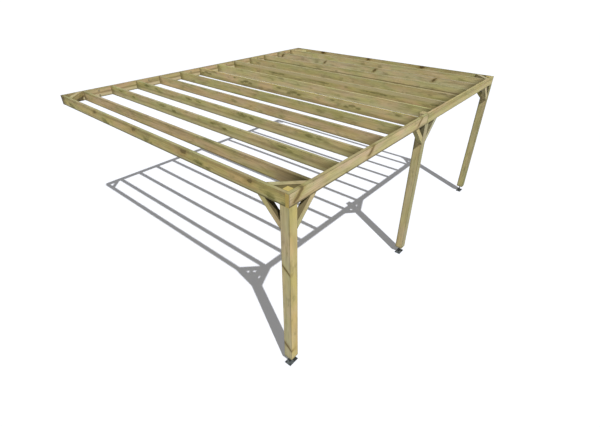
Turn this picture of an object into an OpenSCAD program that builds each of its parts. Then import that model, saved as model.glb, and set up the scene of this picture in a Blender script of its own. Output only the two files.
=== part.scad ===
// Lean-to pergola: a flat open frame of treated softwood held by a house wall
// at the back and by three square posts at the front.
//
// The frame: +X runs along the wall from the near end to the far end, +Y points
// into the wall and +Z is up. The origin is the centre of the wall plate's back
// face, so everything lies at Y <= 0 and the ground is below the origin.

/* [Overall size] */
// Length of the frame along the wall, over the end beams
frame_length = 6000; // [3600:100:7200]
// Depth of the frame from the wall to the front beam's outer face
frame_depth = 5000; // [2400:100:6000]
// Height of the frame's top above the ground
frame_height = 2530; // [2100:10:3000]

/* [Boards] */
// Thickness of the wall plate, beams and rafters
board_t = 45; // [38:1:60]
// Depth of the wall plate, beams and rafters, standing on edge
board_d = 148; // [120:1:200]
// Width of the eased arris along the timber's long edges
arris = 2; // [0:0.5:4]

/* [Rafters] */
// Number of rafters between the two end beams
rafter_count = 12; // [4:2:16]
// Distance from the frame's end to the nearest rafter's centre
end_bay = 360; // [150:10:500]

/* [Posts] */
// Side of the square posts
post_w = 120; // [90:5:150]
// Clear height of the posts' feet above the ground
foot_clear = 120; // [60:5:200]

/* [Braces] */
// Thickness of a brace seen square to its triangle
brace_t = 70; // [45:1:90]
// Width of a brace across its triangle
brace_w = 70; // [45:1:110]
// Length of a knee brace's outer edge measured along the post or the beam
knee_leg = 292; // [220:1:600]
// Length of a corner brace's outer edge measured along the beam
corner_leg = 286; // [280:1:500]

/* [Post shoes] */
// Length of the base plate along the wall
plate_x = 150; // [120:5:200]
// Width of the base plate towards the wall
plate_y = 95; // [80:5:160]
// Thickness of the base plate
plate_t = 6; // [4:1:10]
// Thickness of the upright blade
blade_t = 8; // [5:1:10]
// Width of the upright blade
blade_w = 70; // [50:5:100]
// Height of the blade hidden in the post's slot
blade_hidden = 150; // [90:5:200]
// Clearance round the blade in the post's slot
blade_clear = 1; // [0.5:0.5:3]
// Radius of the anchor holes in the base plate
anchor_r = 6; // [4:0.5:8]
// Distance of the anchor holes from the plate's edges
anchor_edge = 16; // [12:1:30]

/* [Wall fixings] */
// Radius of the bolt holes through the wall plate
wall_bolt_r = 6.5; // [4:0.5:8]
// Height between the upper and lower row of wall bolts
wall_bolt_z = 80; // [50:5:110]
// Number of pairs of wall bolts on each side of the middle, in every second bay
wall_bolt_pairs = 3; // [1:1:3]

/* [Hidden] */

half = frame_length / 2;
top_z = board_d / 2;
under_z = -board_d / 2;
ground_z = top_z - frame_height;
foot_z = ground_z + foot_clear;
front_y = -frame_depth;
bay = frame_depth - 2 * board_t;
brace_cut = brace_t * sqrt(2);
rafter_pitch = (frame_length - 2 * end_bay) / (rafter_count - 1);
wall_bolt_x = 2 * rafter_pitch;

tan_timber = [0.66, 0.60, 0.41];
green_timber = [0.60, 0.58, 0.38];
pink_timber = [0.66, 0.56, 0.41];
post_timber = [0.72, 0.66, 0.45];
dark_steel = [0.33, 0.34, 0.35];

// A board's cross-section with its four long arrises eased, centred on the origin.
module board_section(w, h) {
  polygon([[-w / 2 + arris, -h / 2], [w / 2 - arris, -h / 2], [w / 2, -h / 2 + arris],
           [w / 2, h / 2 - arris], [w / 2 - arris, h / 2], [-w / 2 + arris, h / 2],
           [-w / 2, h / 2 - arris], [-w / 2, -h / 2 + arris]]);
}

// A board on edge running along +X from x0 to x1, its side faces at y0 and y0 + w.
module board_x(x0, x1, y0, w, z0, h) {
  translate([x0, y0 + w / 2, z0 + h / 2])
    rotate([90, 0, 90])
      linear_extrude(x1 - x0)
        board_section(w, h);
}

// A board on edge running along +Y from y0 to y1, its side faces at x0 and x0 + w.
module board_y(y0, y1, x0, w, z0, h) {
  translate([x0 + w / 2, y1, z0 + h / 2])
    rotate([90, 0, 0])
      linear_extrude(y1 - y0)
        board_section(w, h);
}

module wall_plate() {
  color(green_timber)
    difference() {
      board_x(-half, half, -board_t, board_t, under_z, board_d);
      for (i = [0 : wall_bolt_pairs - 1])
        for (s = [-1, 1])
          for (z = [-1, 1])
            translate([s * (i + 0.5) * wall_bolt_x, 1, z * wall_bolt_z / 2])
              rotate([90, 0, 0])
                cylinder(r = wall_bolt_r, h = board_t + 2, $fn = 32);
    }
}

// The end beams run from the wall plate to the back of the front beam, and lie in
// the corner posts' outer rebates on the way.
module end_beam(x0) {
  color(green_timber)
    board_y(front_y + board_t, -board_t, x0, board_t, under_z, board_d);
}

module near_end_beam() { end_beam(-half); }
module far_end_beam() { end_beam(half - board_t); }

// The front beam is two lengths that lie in the posts' front rebates, from the
// frame's ends to a butt joint on the middle post.
module near_front_beam() {
  color(tan_timber)
    board_x(-half, 0, front_y, board_t, under_z, board_d);
}

module far_front_beam() {
  color(tan_timber)
    board_x(0, half, front_y, board_t, under_z, board_d);
}

// Rafters run square from the wall plate to the back of the front beam.
module rafter(n) {
  x = (n - (rafter_count + 1) / 2) * rafter_pitch;
  color(n % 2 == 1 ? pink_timber : green_timber)
    board_y(front_y + board_t, -board_t, x - board_t / 2, board_t, under_z, board_d);
}

// A post with its head cut back on the front by a board's thickness, so the front
// beam lies flush. Its slot ends where the blade does, so the post bears on it.
module post(cx) {
  difference() {
    translate([cx, front_y + post_w / 2, foot_z])
      linear_extrude(top_z - foot_z)
        board_section(post_w, post_w);
    translate([cx - post_w / 2 - 1, front_y - 1, under_z])
      cube([post_w + 2, board_t + 1, board_d + 1]);
    translate([cx - blade_w / 2 - blade_clear, front_y + post_w / 2 - blade_t / 2 - blade_clear, foot_z - 1])
      cube([blade_w + 2 * blade_clear, blade_t + 2 * blade_clear, blade_hidden + 1]);
  }
}

// A corner post has a second rebate for the end beam, which leaves a square stub.
module corner_post(side) {
  color(post_timber)
    difference() {
      post(side * (half - post_w / 2));
      translate([side > 0 ? half - board_t : -half - 1, front_y - 1, under_z])
        cube([board_t + 1, post_w + 2, board_d + 1]);
    }
}

module near_post() { corner_post(-1); }
module far_post() { corner_post(1); }

module middle_post() {
  color(post_timber)
    post(0);
}

// A steel shoe: drilled base plate with one upright blade that enters the post.
module post_shoe(cx) {
  color(dark_steel)
    translate([cx, front_y + post_w / 2, ground_z])
      union() {
        difference() {
          translate([-plate_x / 2, -plate_y / 2, 0])
            cube([plate_x, plate_y, plate_t]);
          for (x = [-1, 1])
            for (y = [-1, 1])
              translate([x * (plate_x / 2 - anchor_edge), y * (plate_y / 2 - anchor_edge), -1])
                cylinder(r = anchor_r, h = plate_t + 2, $fn = 32);
        }
        translate([-blade_w / 2, -blade_t / 2, plate_t / 2])
          cube([blade_w, blade_t, foot_clear - plate_t / 2 + blade_hidden]);
      }
}

module near_post_shoe() { post_shoe(-half + post_w / 2); }
module middle_post_shoe() { post_shoe(0); }
module far_post_shoe() { post_shoe(half - post_w / 2); }

// A 45 degree strut filling the inside corner at the origin between +X and +Y,
// cut square to both, and running up +Z by its width.
module strut(leg, w) {
  linear_extrude(w)
    polygon([[leg - brace_cut, 0], [leg, 0], [0, leg], [0, leg - brace_cut]]);
}

// A knee brace along the front beam; side is +1 when it leans towards +X.
module front_knee(x, side) {
  color(tan_timber)
    translate([x, front_y, under_z])
      mirror([side > 0 ? 0 : 1, 0, 0])
        rotate([-90, 0, 0])
          strut(knee_leg, brace_w);
}

// A knee brace along an end beam, its outer face flush with the beam's.
module end_knee(x0) {
  color(tan_timber)
    translate([x0, front_y + post_w, under_z])
      rotate([0, 90, 0])
        strut(knee_leg, brace_w);
}

module near_end_knee_brace() { end_knee(-half); }
module far_end_knee_brace() { end_knee(half - brace_w); }
module near_front_knee_brace() { front_knee(-half + post_w, 1); }
module middle_near_knee_brace() { front_knee(-post_w / 2, -1); }
module middle_far_knee_brace() { front_knee(post_w / 2, 1); }
module far_front_knee_brace() { front_knee(half - post_w, -1); }

// A strut lying flat in a corner of the frame, its top flush with the boards.
module corner_brace(x, y, sx, sy) {
  color(tan_timber)
    translate([x, y, top_z - brace_w])
      mirror([sx > 0 ? 0 : 1, 0, 0])
        mirror([0, sy > 0 ? 0 : 1, 0])
          strut(corner_leg, brace_w);
}

module near_front_corner_brace() { corner_brace(-half + board_t, front_y + board_t, 1, 1); }
module far_front_corner_brace() { corner_brace(half - board_t, front_y + board_t, -1, 1); }
module near_wall_corner_brace() { corner_brace(-half + board_t, -board_t, 1, -1); }
module far_wall_corner_brace() { corner_brace(half - board_t, -board_t, -1, -1); }

module rafter_01() { rafter(1); }
module rafter_02() { rafter(2); }
module rafter_03() { rafter(3); }
module rafter_04() { rafter(4); }
module rafter_05() { rafter(5); }
module rafter_06() { rafter(6); }
module rafter_07() { rafter(7); }
module rafter_08() { rafter(8); }
module rafter_09() { rafter(9); }
module rafter_10() { rafter(10); }
module rafter_11() { rafter(11); }
module rafter_12() { rafter(12); }

wall_plate();
near_end_beam();
far_end_beam();
near_front_beam();
far_front_beam();
rafter_01();
rafter_02();
rafter_03();
rafter_04();
rafter_05();
rafter_06();
rafter_07();
rafter_08();
rafter_09();
rafter_10();
rafter_11();
rafter_12();
near_post();
middle_post();
far_post();
near_post_shoe();
middle_post_shoe();
far_post_shoe();
near_end_knee_brace();
near_front_knee_brace();
middle_near_knee_brace();
middle_far_knee_brace();
far_front_knee_brace();
far_end_knee_brace();
near_front_corner_brace();
far_front_corner_brace();
near_wall_corner_brace();
far_wall_corner_brace();
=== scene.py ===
"""Lean-to pergola: treated softwood boards on edge, held by a house wall at the back
and by three braced posts on steel shoes at the front. Metres, in the frame's own axes."""

import math

import bpy
from mathutils import Matrix, Vector


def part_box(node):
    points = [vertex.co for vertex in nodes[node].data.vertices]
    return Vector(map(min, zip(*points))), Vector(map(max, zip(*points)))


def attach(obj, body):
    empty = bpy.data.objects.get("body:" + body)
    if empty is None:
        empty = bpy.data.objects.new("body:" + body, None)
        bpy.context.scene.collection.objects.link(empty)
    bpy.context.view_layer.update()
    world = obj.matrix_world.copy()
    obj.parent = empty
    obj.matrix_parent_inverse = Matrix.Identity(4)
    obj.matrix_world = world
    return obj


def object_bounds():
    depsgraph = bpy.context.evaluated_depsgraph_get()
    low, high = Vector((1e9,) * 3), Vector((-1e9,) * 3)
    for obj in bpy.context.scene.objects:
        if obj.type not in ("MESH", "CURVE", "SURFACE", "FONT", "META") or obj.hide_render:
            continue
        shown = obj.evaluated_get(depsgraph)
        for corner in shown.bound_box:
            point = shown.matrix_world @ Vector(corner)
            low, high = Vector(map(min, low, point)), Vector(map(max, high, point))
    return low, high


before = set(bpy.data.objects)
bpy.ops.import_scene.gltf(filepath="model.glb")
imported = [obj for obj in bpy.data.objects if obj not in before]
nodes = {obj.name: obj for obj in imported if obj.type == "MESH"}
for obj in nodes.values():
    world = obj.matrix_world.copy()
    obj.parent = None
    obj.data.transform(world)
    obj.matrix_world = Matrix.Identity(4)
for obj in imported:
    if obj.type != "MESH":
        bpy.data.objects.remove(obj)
cad_low, cad_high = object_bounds()


# --- Wall plate -------------------------------------------------------------------
# A planed, pressure-treated softwood board on edge, bolted flat to the house wall.
# Every rafter's back end is screwed to its face. The timber finish is made here.


class Shade:
    """One socket of a material's node tree, so that its maths reads as expressions."""

    def __init__(self, tree, socket=None):
        self.tree = tree
        self.socket = socket

    def node(self, kind, settings=None, sockets=None, out=0):
        """Adds a node: its settings first, then the values or links of its sockets."""
        made = self.tree.nodes.new(kind)
        for name, value in (settings or {}).items():
            setattr(made, name, value)
        for name, value in (sockets or {}).items():
            if isinstance(value, Shade):
                self.tree.links.new(value.socket, made.inputs[name])
            else:
                made.inputs[name].default_value = value
        return Shade(self.tree, made.outputs[out] if made.outputs else None)

    def outputs(self, *names):
        """These outputs of the node that this socket is on."""
        return [Shade(self.tree, self.socket.node.outputs[name]) for name in names]

    def sums(self, operation, *others):
        """One step of maths on this value and the others."""
        return self.node("ShaderNodeMath", {"operation": operation},
                         dict(enumerate((self, *others))))

    def __add__(self, other):
        return self.sums("ADD", other)

    def __sub__(self, other):
        return self.sums("SUBTRACT", other)

    def __rsub__(self, other):
        return self.node("ShaderNodeMath", {"operation": "SUBTRACT"}, {0: other, 1: self})

    def __mul__(self, other):
        return self.sums("MULTIPLY", other)

    def __truediv__(self, other):
        return self.sums("DIVIDE", other)

    def __pow__(self, other):
        return self.sums("POWER", other)

    def __abs__(self):
        return self.sums("ABSOLUTE")

    __radd__ = __add__
    __rmul__ = __mul__

    def place(self):
        """The place on the object, in the frame's own axes."""
        return self.node("ShaderNodeTexCoord", {}, {}, "Object")

    def fade(self, zero, one, low=0.0, high=1.0):
        """Smoothly from low where the value is zero to high where it is one."""
        return self.node("ShaderNodeMapRange", {"interpolation_type": "SMOOTHSTEP"},
                         {"Value": self, "From Min": zero, "From Max": one,
                          "To Min": low, "To Max": high})

    def over(self, under, top):
        """Colour top laid on colour under where this mask is 1."""
        return self.node("ShaderNodeMix", {"data_type": "RGBA"},
                         {"Factor": self, 6: under, 7: top}, out=2)

    def dyed(self, dye):
        """This colour multiplied by another."""
        return self.node("ShaderNodeMix", {"data_type": "RGBA", "blend_type": "MULTIPLY"},
                         {"Factor": 1.0, 6: self, 7: dye}, out=2)

    def vector(self, x, y, z):
        """A vector made of three values."""
        return self.node("ShaderNodeCombineXYZ", {}, {0: x, 1: y, 2: z})

    def parts(self):
        """The three parts of this vector."""
        return self.node("ShaderNodeSeparateXYZ", {}, {0: self}).outputs(0, 1, 2)

    def squarely(self, way):
        """How squarely this direction points that way, from -1 to 1."""
        return self.node("ShaderNodeVectorMath", {"operation": "DOT_PRODUCT"},
                         {0: self, 1: way}, "Value")

    def noise(self, scale, detail=2.0, rough=0.5):
        """Soft noise from 0 to 1 at this place, with that many bumps a metre."""
        return self.node("ShaderNodeTexNoise", {}, {
            "Vector": self, "Scale": scale, "Detail": detail, "Roughness": rough}, "Fac")


def colour(rgb, level=1.0):
    """A colour as a node's socket takes it, lighter or darker by level."""
    return (*(min(1.0, c * level) for c in rgb), 1.0)


def new_finish(name):
    """An empty material, and the start of its nodes."""
    material = bpy.data.materials.new(name)
    material.use_nodes = True
    material.node_tree.nodes.clear()
    return material, Shade(material.node_tree)


def end_finish(here, looks, relief, strength, deep):
    """Ends a material in one shader, with its relief as a bump that deep, in metres."""
    bump = here.node("ShaderNodeBump", {}, {
        "Strength": strength, "Distance": deep, "Height": relief}, "Normal")
    shader = here.node("ShaderNodeBsdfPrincipled", {}, {**looks, "Normal": bump}, "BSDF")
    here.node("ShaderNodeOutputMaterial", {}, {"Surface": shader})


def dress(node, material):
    """Puts a material on a node of the frame."""
    nodes[node].data.materials.clear()
    nodes[node].data.materials.append(material)


RAGGEDNESS = 1.3


class Board:
    """A board's own axes within its material: u along it, w through it and v up its wide
    face, from its centre, and start from its first end. Each board has its own noise."""

    def __init__(self, here, node, along, across, seed, halves, crook):
        self.here = here
        self.seed = seed
        self.length_way = Vector(along).normalized()
        self.height_way = Vector(across).normalized()
        low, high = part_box(node)
        if halves is None:
            thick = Vector(across).cross(Vector(along))
            halves = [abs(((high - low) / 2).dot(Vector(way))) for way in (along, thick, across)]
        self.half_long, self.half_thick, self.half_tall = halves
        centre = (low + high) / 2
        if crook is not None:
            centre += crook * self.half_thick
        axes = (self.length_way, self.height_way.cross(self.length_way), self.height_way)
        turn = Matrix(axes).transposed().to_euler("XYZ")
        self.u, self.w, self.v = here.node("ShaderNodeMapping", {"vector_type": "TEXTURE"}, {
            "Vector": here.place(), "Location": centre, "Rotation": turn}).parts()
        self.start = self.u + self.half_long
        self.bend = self.noise(0.9, 3.0, 3.0, detail=1.0) - 0.5
        self.coarse = self.noise(2.2, 16.0, 30.0, detail=3.0, rough=0.55, shift=11.0)
        self.fine = self.noise(10.0, 90.0, 160.0, rough=0.6, shift=5.0)
        self.ragged = (self.noise(22.0, 30.0, 30.0, rough=0.6, shift=17.0) - 0.5) * RAGGEDNESS

    def noise(self, long, thick, tall, detail=2.0, rough=0.5, shift=0.0):
        """Noise with this many bumps a metre along, through and up the board. shift moves it
        along, so that two kinds of noise don't agree."""
        place = self.here.vector(self.u * long + (self.seed * 3.7 + shift),
                                 self.w * thick, self.v * tall)
        return place.noise(1.0, detail, rough)


GOLDEN_ANGLE = 2.399
SIZES_DIFFER = 0.15


def spots(board, listed, ragged, deep):
    """How far the nearest knot or stain reaches here: 1 at its middle, 0 at its edge.
    Each row's spots lie evenly along the board, and the golden angle varies their size."""
    nearest_spot = None
    for first, height, long, tall, lean, spacing in listed:
        rise = board.v - height
        turns = (board.start - first) / spacing
        whole = turns.sums("ROUND")
        aside = (turns - whole) * spacing + rise * lean
        swing = whole.sums("MULTIPLY_ADD", GOLDEN_ANGLE, board.seed).sums("SINE")
        reach = ((aside / long) ** 2.0 + (rise / tall) ** 2.0 + deep * deep).sums("SQRT")
        reach = reach * (swing * SIZES_DIFFER + 1.0)
        spot = 1.0 - (reach + ragged)
        nearest_spot = spot if nearest_spot is None else nearest_spot.sums("MAXIMUM", spot)
    return nearest_spot


RING_GAP = 0.0075
RIPPLE = 2.5


def growth_rings(board, knot):
    """The place within a growth ring, from 0 to 1, and its dark late wood. The pith lies
    outside the board, so faces, edges and ends agree, and the rings bend round knots."""
    pith_v = 0.03 * math.sin(board.seed * 2.1)
    pith_w = board.half_thick + 0.03 + 0.02 * math.cos(board.seed * 1.3)
    radius = ((board.v - pith_v + board.bend * 0.12) ** 2.0
              + (board.w + pith_w + board.bend * 0.05) ** 2.0).sums("SQRT")
    turns = radius / RING_GAP + (board.coarse - 0.5) * RIPPLE
    if knot is not None:
        turns = turns + knot.sums("MAXIMUM", -0.8) * 2.0
    ring = turns.sums("FRACT")
    return ring, ring.fade(0.30, 0.90) * ring.fade(1.0, 0.94)


ROSY = (1.065, 0.98, 1.05)
MOSSY = (0.925, 0.985, 0.89)
COOL = (0.99, 1.0, 1.07, 1.0)
AMBER = (1.01, 1.0, 0.93, 1.0)
GRAIN_DYE = (0.50, 0.49, 0.40, 1.0)
MURK = (0.25, 0.21, 0.080)
MURK_STRENGTH = 0.55
SUNLIT = 1.18


def planed_wood(board, tint, late, stain, contrast, drift_by):
    """The wide face's colour: broad drifts of hue, then the grain, then grey murk."""
    drift = board.noise(2.0, 4.0, 6.0, shift=23.0) - 0.5
    if stain is not None:
        drift = drift - stain.fade(-3.5, -0.2) * 0.20 + 0.07
    rosy = [a * b for a, b in zip(tint, ROSY)]
    mossy = [a * b for a, b in zip(tint, MOSSY)]
    hue = (drift * drift_by).fade(-0.14, 0.14).over(colour(mossy, SUNLIT), colour(rosy, SUNLIT))
    warmth = board.noise(3.4, 7.0, 11.0, detail=3.0, rough=0.6, shift=37.0).fade(0.36, 0.64)
    hue = hue.dyed(warmth.over(COOL, AMBER))
    grain = (board.coarse.fade(0.38, 0.78) * 0.55 + late * 0.30
             + board.fine.fade(0.45, 0.75) * 0.20)
    wood = (grain * contrast).over(hue, hue.dyed(GRAIN_DYE))
    murky = board.noise(4.5, 9.0, 13.0, detail=3.0, rough=0.6, shift=29.0).fade(0.54, 0.72)
    return (murky * (MURK_STRENGTH * contrast)).over(wood, colour(MURK))


SAPWOOD_STRENGTH = 0.55


def with_sapwood(board, wood, height, side, tint):
    """Pale sapwood above the height where side is 1, or below it where side is -1."""
    pale = (board.v - height + board.bend * 0.012).fade(-0.002 * side, 0.004 * side)
    return (pale * SAPWOOD_STRENGTH).over(wood, colour(tint))


STAIN_HALO = (0.31, 0.295, 0.088)
HALO_STRENGTH = 0.45


def with_stain(board, wood, stain, tint):
    """Blotches where the preservative pooled: a soft halo, then threads along the grain."""
    wood = (stain.fade(-0.35, 0.5) * HALO_STRENGTH).over(wood, colour(STAIN_HALO))
    threads = board.noise(5.0, 30.0, 70.0, detail=3.0, rough=0.65, shift=41.0)
    patchy = stain.fade(0.0, 0.6) * threads.fade(0.36, 0.58, 0.22, 0.95)
    return patchy.over(wood, colour(tint))


KNOT_FLAME = (0.325, 0.225, 0.048)
KNOT_BROWN = (0.108, 0.066, 0.016)
FLAME_STRENGTH = 0.66


def with_knot(wood, knot, depth):
    """A dark knot in the tinted wood that bends round it."""
    wood = (knot.fade(-1.1, 0.3) * (FLAME_STRENGTH * depth)).over(wood, colour(KNOT_FLAME))
    return (knot.fade(0.05, 0.45) * depth).over(wood, colour(KNOT_BROWN))


STREAK = (0.15, 0.115, 0.040)


def with_streak(board, wood, height, breadth, strength):
    """A dark streak of heartwood along the board."""
    aside = abs(board.v - height + board.bend * 0.010)
    dark = aside.fade(breadth, 0.001) * board.coarse.fade(0.1, 0.45) * strength
    return dark.over(wood, colour(STREAK))


# a dye of painted shade and a grey tone for a board's narrow faces
SHADED_GREY_TOP = (0.575, 0.605, 0.66)
END_GRAIN = (0.77, 0.58, 0.17)
STAIN_GREEN = (0.165, 0.152, 0.032)
# painted shade by the joints at a board's two ends: its reach at the top, its spread down the
# board and its strength
FRONT_JOINT_SHADE = (0.125, 1.7, 0.85)
BACK_JOINT_SHADE = (0.06, 1.0, 0.75)

# dirt, darker hems and painted shade: colours, and where each fades out and is full, in metres
DIRT_AND_SHADE = (0.105, 0.088, 0.030)
ARRIS_DIRT = (0.0060, 0.0015)
HEM_DARKENING = (0.026, 0.010)
CROOK_PAINTED_SHADE = (0.075, 0.056, 0.020)
BRACED_PAINTED_SHADE = (0.085, 0.085, 0.042)
BRACED_SHADE_STRENGTH = 0.82
BRACED_BELOW_TOP = (0.37, 0.29)
BOARD_DEEP = 2 * cad_high.z
BEAM_SHADOW = (BOARD_DEEP - 0.004, BOARD_DEEP)


def timber(node, along, across, tint, seed, edge=SHADED_GREY_TOP, end_grain=END_GRAIN,
           contrast=1.0, drift_by=1.0, sapwood=None, lines=(), knots=(), knot_depth=0.8,
           knot_reach=0.10, face=1, stains=(), stain_tint=STAIN_GREEN, hem=0.62,
           end_shades=(FRONT_JOINT_SHADE, BACK_JOINT_SHADE), halves=None, crook=None, crook_shade=0.75,
           braced=()):
    """Treated softwood for one board. along is the way of its length, and across the way
    of its wide face's height. Heights count from its centre line, places from its start,
    and seed sets its grain.

    Wood: tint is its colour, edge a dye of painted shade and tone on its narrow faces,
    contrast the strength of its grain, and drift_by how far its hue drifts between green
    and rose. sapwood is (height, side, tint): above or below that height it is that pale.
    Marks: lines are streaks of (height, breadth, strength). knots and stains are rows of
    (first place, height, length, tall, lean, spacing). knot_depth is how dark the knots
    are, knot_reach how deep they go, and face the side that they come from.
    Darkening: hem is how dark the lower edge is, or a post's edge by the wall. end_shades
    holds, for each end, how far the painted shade by the joint reaches at the top, its
    spread down the board, and its strength.
    Braces: halves are half the length, thickness and height where its box isn't its
    size. crook is the way from a brace's outer face, which halves its box, to its corner,
    and crook_shade how dark the inner face is. braced are the faces of a post whose head
    lies in the crook of a brace."""
    material, here = new_finish("timber_" + node)
    if crook is not None:
        crook = Vector(crook).normalized()
    board = Board(here, node, along, across, seed, halves, crook)
    deep = (board.half_thick - board.w * face) / knot_reach
    knot = spots(board, knots, board.ragged * 0.9, deep)
    stain = spots(board, stains, board.ragged, deep)
    ring, late = growth_rings(board, knot)
    wood = planed_wood(board, tint, late, stain, contrast, drift_by)
    if sapwood is not None:
        wood = with_sapwood(board, wood, *sapwood)
    if stain is not None:
        wood = with_stain(board, wood, stain, stain_tint)
    if knot is not None:
        wood = with_knot(wood, knot, knot_depth)
    for line in lines:
        wood = with_streak(board, wood, *line)

    # the narrow faces' dye of painted shade and tone, and the end grain
    outward = here.node("ShaderNodeNewGeometry", {}, {}, "Normal")
    narrow = abs(outward.squarely(board.height_way)).fade(0.75, 0.9)
    end = abs(outward.squarely(board.length_way)).fade(0.75, 0.9)
    wood = narrow.over(wood, wood.dyed(colour(edge)))
    wood = end.over(wood, ring.fade(0.2, 0.9).over(colour(end_grain), colour(end_grain, 0.6)))

    # dirt on the arrises, a darker lower edge, and painted shade by the joints at both ends
    rim = (board.half_tall - abs(board.v)).sums("MAXIMUM", board.half_thick - abs(board.w))
    dirt_and_shade = rim.fade(*ARRIS_DIRT) * board.fine.fade(0.2, 0.6, 0.5, 0.8)
    if hem:
        on_edge = board.height_way.z > 0.5
        above_hem = board.v + board.half_tall if on_edge else board.half_tall - board.v
        dirt_and_shade = dirt_and_shade.sums("MAXIMUM", above_hem.fade(*HEM_DARKENING) * hem)
    for left, (reach, spread, strength) in zip((board.start, board.half_long - board.u),
                                               end_shades):
        # painted shade that darkens the board towards each joint
        joint_shade = 1.0 - left / (reach + (board.half_tall - board.v) * spread)
        dirt_and_shade = dirt_and_shade.sums("MAXIMUM", (joint_shade * strength).sums("MINIMUM", 1.0))
    # the dirt colour also paints the shade by the joints
    wood = (dirt_and_shade * (1.0 - end)).over(wood, colour(DIRT_AND_SHADE))

    # painted shade in the crook of a brace, on the brace and on the post behind it
    if crook is not None:
        inner = outward.squarely(crook).fade(0.6, 0.9)
        wood = (inner * crook_shade).over(wood, colour(CROOK_PAINTED_SHADE))
    # painted shade on a post's faces below the beam, where a brace meets them
    for way in braced:
        inner = outward.squarely(way).fade(0.6, 0.9)
        below_beam = board.start.fade(*BRACED_BELOW_TOP) * board.start.fade(*BEAM_SHADOW)
        wood = (inner * below_beam * BRACED_SHADE_STRENGTH).over(wood, colour(BRACED_PAINTED_SHADE))

    end_finish(here, {
        "Base Color": wood, "Roughness": board.fine.fade(0.3, 0.7, 0.64, 0.82) - late * 0.08,
        "Specular IOR Level": 0.3},
        relief=late * 0.5 + board.fine * 0.35 + board.coarse * 0.15,
        strength=0.4, deep=0.0012)
    dress(node, material)


UP = (0, 0, 1)
ALONG_WALL = (1, 0, 0)
timber("wall_plate", ALONG_WALL, UP, (0.505, 0.40, 0.215), seed=1.0,
       end_grain=(0.17, 0.135, 0.055), sapwood=(-0.017, -1, (0.66, 0.60, 0.38)),
       lines=[(0.002, 0.020, 0.55)], face=-1)

# --- End beams --------------------------------------------------------------------
# Boards on edge that close the frame at both ends, screwed to the wall plate and lying
# in the corner posts' side rebates. The near one has small dark knots and green stains,
# and the far one a row of dark knots along its top.
TO_WALL = (0, 1, 0)
OCHRE = (0.59, 0.475, 0.20)
OLIVE = (0.60, 0.52, 0.245)
# painted shade by the joints at the end beams' front ends, faint and dark
FAINT_FRONT_SHADE = (0.03, 0.0, 0.2)
DARK_FRONT_SHADE = (0.03, 0.0, 0.7)


def shade_of(rgb, level):
    """A lighter or darker shade of a colour."""
    return tuple(c * level for c in rgb)


# each end beam's edge is painted shade and tone on its top and bottom faces
timber("near_end_beam", TO_WALL, UP, shade_of(OCHRE, 1.035), seed=2.0, edge=(0.53, 0.60, 0.71),
       sapwood=(-0.034, -1, (0.55, 0.52, 0.27)), lines=[(0.053, 0.025, 0.37)],
       knots=[(0.475, 0.039, 0.064, 0.032, 0.9, 1.10)], knot_depth=0.72,
       stains=[(0.20, -0.028, 0.095, 0.048, -0.6, 1.10),
               (0.02, -0.045, 0.045, 0.02, 0.0, 1.13)],
       hem=0.8, end_shades=(FAINT_FRONT_SHADE, BACK_JOINT_SHADE))
timber("far_end_beam", TO_WALL, UP, OLIVE, seed=3.0, edge=(0.40, 0.42, 0.42),
       knots=[(0.077, 0.054, 0.062, 0.034, 0.5, 1.337)], knot_depth=0.95,
       end_shades=(DARK_FRONT_SHADE, BACK_JOINT_SHADE))

# --- Front beam -------------------------------------------------------------------
# Two lengths of the same board, flush in the posts' front rebates and butted on the
# middle post. The near length has spike knots that lean across its face.
# painted shade by the butt joints at both ends of each length
BUTT_JOINT_SHADES = ((0.02, 0.0, 0.7), (0.02, 0.0, 0.7))
# each front beam's edge is painted shade and tone on its top and bottom faces
timber("near_front_beam", ALONG_WALL, UP, (0.578, 0.482, 0.268), seed=4.0,
       edge=(0.565, 0.615, 0.53), knots=[(0.142, 0.016, 0.040, 0.080, -0.95, 1.30)],
       knot_depth=0.72, face=-1, hem=0.85, end_shades=BUTT_JOINT_SHADES)
timber("far_front_beam", ALONG_WALL, UP, (0.48, 0.41, 0.187), seed=5.0,
       edge=(0.83, 0.80, 0.86), sapwood=(-0.004, -1, (0.59, 0.535, 0.262)),
       lines=[(0.035, 0.030, 0.28)], face=-1, hem=0.45, end_shades=BUTT_JOINT_SHADES)

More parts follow.
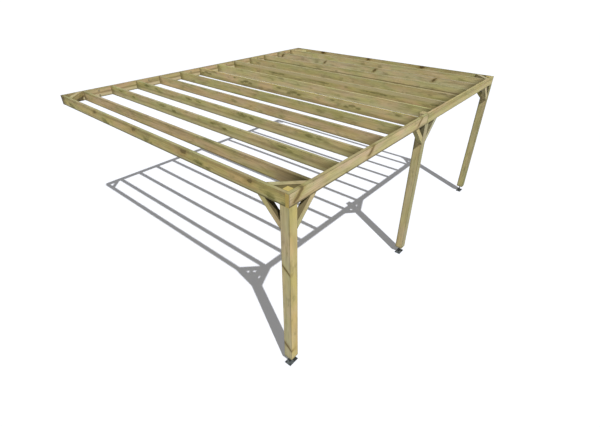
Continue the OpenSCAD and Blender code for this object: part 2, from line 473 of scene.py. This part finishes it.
# --- Rafters ----------------------------------------------------------------------
# Twelve boards on edge at even spacing, flush with the frame's top, screwed through
# the wall plate and the front beam. Each came from another log, so tints differ.
ROSE = (0.65, 0.53, 0.27)
STRAW = (0.68, 0.59, 0.30)
SHADED_WARM_TOP = (0.595, 0.63, 0.575)
STAIN_BROWN = (0.23, 0.195, 0.068)
# deep painted shade at the first rafter's front end, by the corner brace
DEEP_FRONT_SHADE = (0.60, 0.0, 1.15)
GREENER_LOW = (-0.026, -1, (0.62, 0.575, 0.32))
MID_STREAK = (-0.001, 0.030, 0.38)
# each rafter's edge is painted shade and tone on its top and bottom faces
rafters = [
    dict(tint=shade_of(ROSE, 0.945), edge=shade_of(SHADED_GREY_TOP, 0.97),
         lines=[(0.057, 0.014, 0.34)], end_shades=(DEEP_FRONT_SHADE, BACK_JOINT_SHADE),
         stains=[(1.86, -0.070, 0.07, 0.009, 0.0, 1.2), (1.55, 0.070, 0.15, 0.007, 0.0, 3.2)]),
    dict(tint=shade_of(OLIVE, 1.06), edge=shade_of(SHADED_GREY_TOP, 0.95),
         sapwood=GREENER_LOW, lines=[MID_STREAK],
         stains=[(0.78, 0.042, 0.105, 0.020, 0.3, 1.26),
                 (0.665, 0.018, 0.065, 0.022, -0.3, 1.16)]),
    dict(tint=shade_of(OLIVE, 1.09), edge=shade_of(SHADED_GREY_TOP, 0.94),
         sapwood=GREENER_LOW, lines=[MID_STREAK],
         stains=[(0.76, 0.042, 0.115, 0.026, 0.3, 1.26),
                 (0.62, 0.040, 0.065, 0.018, -0.3, 1.20)]),
    dict(tint=ROSE, edge=shade_of(SHADED_GREY_TOP, 0.88),
         stains=[(1.07, -0.069, 0.065, 0.010, 0.0, 1.38), (1.06, 0.068, 0.06, 0.006, 0.0, 2.8),
                 (0.69, 0.060, 0.07, 0.006, 0.0, 2.8)]),
    dict(tint=OLIVE, edge=shade_of(SHADED_WARM_TOP, 0.87)),
    dict(tint=shade_of(ROSE, 1.09), edge=(0.555, 0.565, 0.395), hem=0.45,
         lines=[(-0.044, 0.044, 0.40)], stain_tint=STAIN_BROWN,
         stains=[(1.08, 0.020, 0.090, 0.032, 0.5, 1.20), (0.97, 0.004, 0.070, 0.024, 0.6, 1.20),
                 (1.19, -0.006, 0.060, 0.022, 0.6, 1.20), (1.46, 0.046, 0.055, 0.018, 0.0, 1.17)]),
    dict(tint=STRAW, edge=shade_of(SHADED_WARM_TOP, 1.03), hem=0.0,
         sapwood=(-0.034, -1, (0.74, 0.655, 0.37))),
    dict(tint=(0.605, 0.490, 0.232), edge=(0.53, 0.555, 0.565),
         sapwood=(0.023, 1, (0.74, 0.65, 0.37)), stain_tint=STAIN_BROWN,
         stains=[(1.20, -0.004, 0.30, 0.017, 0.0, 1.20)]),
    dict(tint=OLIVE, edge=shade_of(SHADED_GREY_TOP, 0.95)),
    dict(tint=STRAW, edge=(0.48, 0.50, 0.53), lines=[(-0.024, 0.016, 0.76)]),
    dict(tint=(0.68, 0.59, 0.335), edge=(0.46, 0.48, 0.49), hem=0.45,
         knots=[(0.79, 0.026, 0.034, 0.045, 0.9, 1.31)]),
    dict(tint=STRAW, edge=(0.545, 0.57, 0.61), knots=[(0.95, -0.054, 0.060, 0.024, 0.5, 1.385)]),
]
for number, looks in enumerate(rafters, 1):
    timber(f"rafter_{number:02d}", TO_WALL, UP, seed=10.0 + number * 1.7, **looks)

# --- Posts ------------------------------------------------------------------------
# Square posts of the same timber. Their heads are rebated by a board's thickness, so
# the beams lie flush with their faces and bear on the shoulders.
DOWN = (0, 0, -1)
AWAY = (-1, 0, 0)
WEATHERED_END = (0.58, 0.465, 0.148)
SHADED_END = (0.45, 0.37, 0.18)
# painted shade by the joints at each post's head and foot
HEAD_AND_FOOT_SHADES = ((0.02, 0.0, 0.7), (0.03, 0.0, 0.7))
# each post's edge is painted shade and tone on its front and back faces
timber("near_post", DOWN, TO_WALL, (0.645, 0.56, 0.325), seed=40.0, edge=(0.90, 0.85, 0.64),
       end_grain=WEATHERED_END, contrast=0.8, drift_by=0.55,
       knots=[(0.94, 0.0, 0.024, 0.085, 0.85, 1.25)], knot_reach=0.045,
       hem=0.0, end_shades=HEAD_AND_FOOT_SHADES, braced=[ALONG_WALL, TO_WALL])
timber("middle_post", DOWN, TO_WALL, (0.645, 0.555, 0.30), seed=42.3, edge=(0.62, 0.66, 0.67),
       end_grain=SHADED_END, contrast=0.8, drift_by=0.35,
       hem=0.45, end_shades=HEAD_AND_FOOT_SHADES, braced=[ALONG_WALL, AWAY])
timber("far_post", DOWN, TO_WALL, (0.595, 0.515, 0.265), seed=44.6, edge=(0.475, 0.505, 0.43),
       end_grain=WEATHERED_END, contrast=0.9, drift_by=0.7,
       hem=0.45, end_shades=HEAD_AND_FOOT_SHADES, braced=[AWAY, TO_WALL])

# --- Post shoes -------------------------------------------------------------------
# Steel elevated post bases, bolted down: a flat plate with one upright blade that
# enters the post's slot. Galvanised and painted dull black, with the paint worn off
# the near end of the plate. The blade's black also stands in for painted shade under
# the post.
SHOE_PLATE_THICK = 0.006
DARK_GREY = (0.105, 0.122, 0.126)
MID_GREY = (0.165, 0.185, 0.190)
BLACK_PAINT_AND_SHADE = (0.022, 0.024, 0.022)


def shoe_steel(post, worn):
    """The steel of one shoe. worn is how bare the near end of its plate is."""
    material, here = new_finish(post + "_shoe_steel")
    place = here.place()
    mottle = place.noise(60.0, detail=4.0, rough=0.6)
    steel = mottle.fade(0.35, 0.7).over(colour(DARK_GREY), colour(MID_GREY))
    low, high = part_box(post + "_post_shoe")
    across, _, rise = place.parts()
    painted = (across - (low.x + high.x) / 2).fade(-0.008, 0.030, 1.0 - worn, 1.0)
    # the blade above the plate is black all over, which is also painted shade under the post's
    # foot
    above_plate = (rise - low.z).fade(SHOE_PLATE_THICK - 0.0005, SHOE_PLATE_THICK + 0.0015)
    steel = painted.sums("MAXIMUM", above_plate).over(steel, colour(BLACK_PAINT_AND_SHADE))
    end_finish(here, {
        "Base Color": steel, "Metallic": 0.35, "Roughness": mottle.fade(0.2, 0.8, 0.40, 0.58)},
        relief=place.noise(900.0), strength=0.25, deep=0.0004)
    return material


for post, worn in (("near", 1.0), ("middle", 1.0), ("far", 0.3)):
    dress(post + "_post_shoe", shoe_steel(post, worn))

# --- Knee braces ------------------------------------------------------------------
# Short square struts at 45 degrees from post to beam, outer faces flush, mitred to
# both ends and screwed. The face in the crook is darkened with painted shade.
BRACE_HALVES = (0.19, 0.035, 0.035)
# light painted shade by the joints at both ends of a brace
BRACE_END_SHADES = ((0.02, 0.0, 0.4), (0.02, 0.0, 0.4))
UNDYED = (1.0, 1.0, 1.0)

# each brace's length, its way into the crook, and its tint
knees = {"near_front_knee_brace": ((1, 0, 1), (-1, 0, 1), (0.545, 0.478, 0.246)),
         "middle_near_knee_brace": ((-1, 0, 1), (1, 0, 1), (0.567, 0.494, 0.238)),
         "middle_far_knee_brace": ((1, 0, 1), (-1, 0, 1), (0.526, 0.50, 0.339)),
         "far_front_knee_brace": ((-1, 0, 1), (1, 0, 1), (0.636, 0.536, 0.321)),
         "near_end_knee_brace": ((0, 1, 1), (0, -1, 1), (0.636, 0.534, 0.282)),
         "far_end_knee_brace": ((0, 1, 1), (0, -1, 1), (0.60, 0.512, 0.225))}
for number, (name, (along, crook, tint)) in enumerate(knees.items()):
    timber(name, along, Vector(along).cross(Vector(crook)), tint, seed=60.0 + number * 1.9,
           edge=UNDYED, hem=0.0, end_shades=BRACE_END_SHADES, halves=BRACE_HALVES, crook=crook,
           crook_shade=0.97 if "end" in name else 0.78)

# --- Corner braces ----------------------------------------------------------------
# The same strut lying flat in each corner of the frame, flush with the boards' tops.
# It is mitred to both boards and screwed from its outer face.

# each brace's length, its way into the corner, and the painted shade and tone of its top
corners = {"near_front_corner_brace": ((1, -1, 0), (-1, -1, 0), (0.627, 0.653, 0.733)),
           "far_front_corner_brace": ((1, 1, 0), (1, -1, 0), (0.621, 0.629, 0.80)),
           "near_wall_corner_brace": ((1, 1, 0), (-1, 1, 0), (0.679, 0.684, 0.766)),
           "far_wall_corner_brace": ((1, -1, 0), (1, 1, 0), (0.375, 0.382, 0.40))}
for number, (name, (along, crook, top_shade)) in enumerate(corners.items()):
    timber(name, along, UP, OLIVE, seed=80.0 + number * 1.9, edge=top_shade, hem=0.3,
           end_shades=BRACE_END_SHADES, halves=BRACE_HALVES, crook=crook)

# --- Shoe anchors -----------------------------------------------------------------
# Four hexagon-head concrete screws of blackened zinc hold each shoe down, each on a
# washer. One is made, and the others are copies. Shanks end short of the piece's back.
SHANK_SHORT = 0.0002
SMOOTH_BELOW = math.radians(35)


def zinc(name, tone):
    """A zinc coat with soft spangle, duller where it has been handled."""
    material, here = new_finish(name)
    place = here.place()
    spangle = here.node("ShaderNodeTexVoronoi", {}, {"Vector": place, "Scale": 350.0}, "Color")
    cloud = place.noise(120.0, detail=3.0)
    coat = spangle.parts()[0].over(colour(tone, 0.84), colour(tone, 1.16))
    coat = (cloud.fade(0.55, 0.75) * 0.5).over(coat, colour(tone, 0.58))
    end_finish(here, {
        "Base Color": coat, "Metallic": 0.7, "Roughness": cloud.fade(0.3, 0.7, 0.35, 0.6)},
        relief=cloud, strength=0.2, deep=0.0002)
    return material


def pick_faces(piece, wanted):
    """Selects, in edit mode, the faces whose normal the test accepts."""
    bpy.ops.object.mode_set(mode="OBJECT")
    for part in (*piece.data.vertices, *piece.data.edges, *piece.data.polygons):
        part.select = False
    for face in piece.data.polygons:
        face.select = wanted(face.normal)
    bpy.ops.object.mode_set(mode="EDIT")
    bpy.ops.mesh.select_mode(type="FACE")


def add_cylinder(sides, radius, low, high):
    """A cylinder that stands on the Z axis between two heights, its place in its mesh."""
    bpy.ops.object.select_all(action="DESELECT")
    bpy.ops.mesh.primitive_cylinder_add(vertices=sides, radius=radius, depth=high - low,
                                        location=(0, 0, (low + high) / 2))
    bpy.ops.object.transform_apply(location=True, rotation=True, scale=True)
    return bpy.context.object


def hexagon_bolt(name, flats, head, washer, washer_high, shank, shank_long, material):
    """A hexagon-head bolt on its washer, whose underside is at the origin, head upwards.
    flats is the head's width and head its height; washer and shank are radii."""
    ring = add_cylinder(24, washer, 0.0, washer_high)
    pick_faces(ring, lambda way: way.z > 0.9)
    bpy.ops.mesh.bevel(offset=washer_high * 0.25, segments=1, affect="EDGES")
    pick_faces(ring, lambda way: way.z < -0.9)
    bpy.ops.mesh.inset(thickness=washer - shank)
    bpy.ops.mesh.extrude_region_move(TRANSFORM_OT_translate={"value": (0, 0, -shank_long)})
    bpy.ops.object.mode_set(mode="OBJECT")
    bolt = add_cylinder(6, flats / math.sqrt(3), washer_high, washer_high + head)
    bolt.name = name
    pick_faces(bolt, lambda way: way.z > 0.9)
    bpy.ops.mesh.bevel(offset=head * 0.18, segments=2, affect="EDGES")
    bpy.ops.object.mode_set(mode="OBJECT")
    ring.select_set(True)
    bpy.ops.object.join()
    bpy.ops.object.shade_smooth_by_angle(angle=SMOOTH_BELOW)
    bolt.data.materials.append(material)
    return bolt


def set_out(original, name, places):
    """Copies a fastener to each (place, outward way, turn in degrees) and joins them as
    one piece. The turns differ, as those of driven fasteners do."""
    copies = []
    for spot, way, turn in places:
        bpy.ops.object.select_all(action="DESELECT")
        original.select_set(True)
        bpy.context.view_layer.objects.active = original
        bpy.ops.object.duplicate()
        copy = bpy.context.object
        copy.matrix_world = (Matrix.Translation(Vector(spot))
                             @ Vector(way).to_track_quat("Z", "Y").to_matrix().to_4x4()
                             @ Matrix.Rotation(math.radians(turn), 4, "Z"))
        bpy.ops.object.transform_apply(location=True, rotation=True, scale=True)
        copies.append(copy)
    bpy.ops.object.select_all(action="DESELECT")
    for copy in copies:
        copy.select_set(True)
    bpy.context.view_layer.objects.active = copies[0]
    bpy.ops.object.join()
    piece = bpy.context.object
    piece.name = name
    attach(piece, "root")


ANCHOR_EDGE = 0.016
shoe_anchor = hexagon_bolt("shoe_anchor", flats=0.015, head=0.0065, washer=0.0105,
                           washer_high=0.002, shank=0.005,
                           shank_long=SHOE_PLATE_THICK - SHANK_SHORT,
                           material=zinc("blackened_zinc", (0.065, 0.070, 0.070)))
for post in ("near", "middle", "far"):
    low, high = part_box(f"{post}_post_shoe")
    middle = (low + high) / 2
    reach = ((high.x - low.x) / 2 - ANCHOR_EDGE, (high.y - low.y) / 2 - ANCHOR_EDGE)
    set_out(shoe_anchor, f"{post}_post_shoe_anchors",
            [((middle.x + i * reach[0], middle.y + j * reach[1], low.z + SHOE_PLATE_THICK),
              UP, 17.0 * i + 23.0 * j) for i in (-1, 1) for j in (-1, 1)])
bpy.data.objects.remove(shoe_anchor)

# --- Wall anchors -----------------------------------------------------------------
# Galvanised bolts through the wall plate into the house wall, one above another in
# every second bay, with broad washers so that the heads don't sink into the timber.
OUT_OF_WALL = (0, -1, 0)
WALL_BOLT_STEP = 0.96
WALL_BOLT_RISE = 0.04
low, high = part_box("wall_plate")
wall_anchor = hexagon_bolt("wall_anchor", flats=0.019, head=0.0078, washer=0.0145,
                           washer_high=0.0025, shank=0.0062,
                           shank_long=high.y - low.y - SHANK_SHORT,
                           material=zinc("tarnished_zinc", (0.34, 0.30, 0.20)))
wall_bolts = [((step + 0.5) * WALL_BOLT_STEP, rise) for step in range(-3, 3)
              for rise in (-WALL_BOLT_RISE, WALL_BOLT_RISE)]
set_out(wall_anchor, "wall_anchors",
        [((x, low.y, z), OUT_OF_WALL, 31.0 * x + 400.0 * z) for x, z in wall_bolts])
bpy.data.objects.remove(wall_anchor)

# --- Shoe dowels ------------------------------------------------------------------
# Two plain galvanised pins cross each post and its shoe's blade, at two heights. They
# are driven in until their chamfered ends stand a hair proud of the post.
DOWEL_RADIUS = 0.006
DOWEL_CHAMFER = 0.0008
DOWEL_PROUD = 0.0001
DOWEL_ASIDE = 0.018
DOWEL_RISES = (0.055, 0.105)
low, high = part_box("near_post")
half_through = (high.y - low.y) / 2 + DOWEL_PROUD
dowel = add_cylinder(24, DOWEL_RADIUS, -half_through, half_through)
dowel.name = "shoe_dowel"
pick_faces(dowel, lambda way: abs(way.z) > 0.9)
bpy.ops.mesh.bevel(offset=DOWEL_CHAMFER, segments=1, affect="EDGES")
bpy.ops.object.mode_set(mode="OBJECT")
bpy.ops.object.shade_smooth_by_angle(angle=SMOOTH_BELOW)
dowel.data.materials.append(zinc("bright_zinc", (0.43, 0.44, 0.45)))
for post in ("near", "middle", "far"):
    low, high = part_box(f"{post}_post")
    middle = (low + high) / 2
    set_out(dowel, f"{post}_post_shoe_dowels",
            [((middle.x + side * DOWEL_ASIDE, middle.y, low.z + rise), OUT_OF_WALL, 0.0)
             for side, rise in zip((-1, 1), DOWEL_RISES)])
bpy.data.objects.remove(dowel)

# --- Screws -----------------------------------------------------------------------
# Coated countersunk screws: pairs through the front beam into every rafter and post,
# through the end beams into the posts, and through the braces' outer faces. A screw is
# made with its rim at the timber's face, and a recess for the driver.
SCREW_RADIUS = 0.005
SCREW_DEEP = 0.0027
SCREW_PROUD = 0.0003
SCREW_TAPER = 0.4
RECESS_RIM = 0.45 * SCREW_RADIUS
RECESS_DEEP = 0.0012
RECESS_TAPER = 0.7
SUNK = 0.0002


def screw_coat():
    """Green-brown outdoor coating, with paler patches where it is rubbed."""
    material, here = new_finish("screw_coat")
    cloud = here.place().noise(260.0, detail=3.0)
    coat = cloud.fade(0.35, 0.65).over(colour((0.17, 0.15, 0.08)), colour((0.30, 0.27, 0.17)))
    end_finish(here, {
        "Base Color": coat, "Metallic": 0.5, "Roughness": cloud.fade(0.3, 0.7, 0.4, 0.6)},
        relief=cloud, strength=0.2, deep=0.0002)
    return material


screw = add_cylinder(12, SCREW_RADIUS, -SCREW_DEEP, SCREW_PROUD)
screw.name = "screw"
pick_faces(screw, lambda way: way.z < -0.9)
bpy.ops.transform.resize(value=(SCREW_TAPER, SCREW_TAPER, 1.0))
pick_faces(screw, lambda way: way.z > 0.9)
bpy.ops.mesh.inset(thickness=RECESS_RIM)
bpy.ops.mesh.extrude_region_move(TRANSFORM_OT_translate={"value": (0, 0, -RECESS_DEEP)})
bpy.ops.transform.resize(value=(RECESS_TAPER, RECESS_TAPER, 1.0))
bpy.ops.object.mode_set(mode="OBJECT")
screw.data.materials.append(screw_coat())

# the front beam: into each rafter, into the end beams and the posts' stubs, and on
# both sides of the butt on the middle post
SCREW_RISE = 0.038
INTO_END_BEAM = 0.0225
INTO_STUB = 0.085
BESIDE_BUTT = 0.03
low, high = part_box("near_front_beam")[0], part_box("far_front_beam")[1]
front_places = []
for number in range(1, len(rafters) + 1):
    rafter_low, rafter_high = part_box(f"rafter_{number:02d}")
    front_places.append((rafter_low.x + rafter_high.x) / 2)
front_places += [low.x + INTO_END_BEAM, low.x + INTO_STUB, -BESIDE_BUTT,
                 BESIDE_BUTT, high.x - INTO_STUB, high.x - INTO_END_BEAM]
set_out(screw, "front_beam_screws",
        [((x, low.y + SUNK, z), OUT_OF_WALL, 40.0 * x)
         for x in front_places for z in (-SCREW_RISE, SCREW_RISE)])

# the end beams: into the stubs, from both ends of the frame
set_out(screw, "end_beam_screws",
        [((x, low.y + INTO_STUB, z), way, 70.0 * z)
         for x, way in ((low.x + SUNK, AWAY), (high.x - SUNK, ALONG_WALL))
         for z in (-SCREW_RISE, SCREW_RISE)])

# the braces: two screws by each tip of the outer face, which cuts the box in half
SCREW_FROM_TIP = 0.060
SCREW_ASIDE = 0.018
brace_places = []
for name, (along, crook, _) in {**knees, **corners}.items():
    low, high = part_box(name)
    along, crook = Vector(along).normalized(), Vector(crook).normalized()
    side = along.cross(crook)
    reach = max(high - low) / math.sqrt(2) - SCREW_FROM_TIP
    for i in (-1, 1):
        for j in (-1, 1):
            spot = ((low + high) / 2 + along * (i * reach) + side * (j * SCREW_ASIDE)
                    + crook * SUNK)
            brace_places.append((spot, -crook, 30.0 * i + 11.0 * j))
set_out(screw, "brace_screws", brace_places)
bpy.data.objects.remove(screw)

# --- Floor ------------------------------------------------------------------------
# A plain pale floor that the camera and polished metal see as white, apart from the
# pergola's shadow. It throws back only a little light from below.
FLOOR_SIZE = 1200.0
FLOOR_DROP = 0.0005
SEEN_PAINT = (0.91, 0.93, 1.0, 1.0)
BOUNCE_PAINT = (0.25, 0.25, 0.245, 1.0)
FLOOR_GLOW = 0.112
WHITE = (1.0, 1.0, 1.0, 1.0)


def seen_outright(here):
    """1 for what the camera or a reflection sees, and 0 for light that bounces."""
    camera_ray, glossy_ray = here.node("ShaderNodeLightPath").outputs(
        "Is Camera Ray", "Is Glossy Ray")
    return camera_ray.sums("MAXIMUM", glossy_ray)


low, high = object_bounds()
bpy.ops.object.select_all(action="DESELECT")
bpy.ops.mesh.primitive_plane_add(size=FLOOR_SIZE, location=(0.0, 0.0, low.z - FLOOR_DROP))
floor = bpy.context.object
floor.name = "floor"
floor_paint, here = new_finish("floor_paint")
seen = seen_outright(here)
matt = here.node("ShaderNodeBsdfDiffuse", {}, {"Color": seen.over(BOUNCE_PAINT, SEEN_PAINT)})
glow = here.node("ShaderNodeEmission", {}, {"Color": WHITE, "Strength": 1.0})
here.node("ShaderNodeOutputMaterial", {}, {"Surface": here.node(
    "ShaderNodeMixShader", {}, {0: seen * FLOOR_GLOW, 1: matt, 2: glow})})
floor.data.materials.append(floor_paint)

# --- Daylight ---------------------------------------------------------------------
# A high sun over the near front corner, small enough for crisp shadows, and a plain
# sky that looks white but lights only softly.
SUN_TRAVEL = Vector((0.318, 0.632, -1.0))
SKY_LIGHT = 0.18
bpy.ops.object.light_add(type="SUN")
sun = bpy.context.object
sun.name = "daylight"
sun.data.energy = 3.7
sun.data.angle = math.radians(0.6)
sun.data.color = (1.0, 1.0, 1.0)
sun.rotation_mode = "QUATERNION"
sun.rotation_quaternion = SUN_TRAVEL.to_track_quat("-Z", "Y")

sky = bpy.data.worlds.new("plain_sky")
bpy.context.scene.world = sky
sky.use_nodes = True
sky.node_tree.nodes.clear()
here = Shade(sky.node_tree)
sky_strength = seen_outright(here).fade(0.0, 1.0, SKY_LIGHT, 1.0)
here.node("ShaderNodeOutputWorld", {}, {"Surface": here.node(
    "ShaderNodeBackground", {}, {"Color": WHITE, "Strength": sky_strength})})

# --- Camera -----------------------------------------------------------------------
# It stands above and outside the near front corner, and looks down along the frame
# through a wide lens.
CAMERA_PLACE = Vector((-5.1351, -6.9350, 1.7540))
CAMERA_TURN, CAMERA_DIP, CAMERA_ROLL = (math.radians(a) for a in (49.838, 33.145, 0.0754))
ahead = Vector((math.cos(CAMERA_DIP) * math.sin(CAMERA_TURN),
                math.cos(CAMERA_DIP) * math.cos(CAMERA_TURN), -math.sin(CAMERA_DIP)))
right = Vector((math.cos(CAMERA_TURN), -math.sin(CAMERA_TURN), 0.0))
top = right.cross(ahead)
right, top = (math.cos(CAMERA_ROLL) * right + math.sin(CAMERA_ROLL) * top,
              math.cos(CAMERA_ROLL) * top - math.sin(CAMERA_ROLL) * right)
bpy.ops.object.camera_add()
camera = bpy.context.object
camera.name = "camera"
camera.data.sensor_width = 36.0
camera.data.lens = 22.122
camera.data.clip_end = 2000.0
camera.matrix_world = (Matrix.Translation(CAMERA_PLACE)
                       @ Matrix((right, top, -ahead)).transposed().to_4x4())
bpy.context.scene.camera = camera
bpy.context.scene.view_settings.view_transform = "Standard"
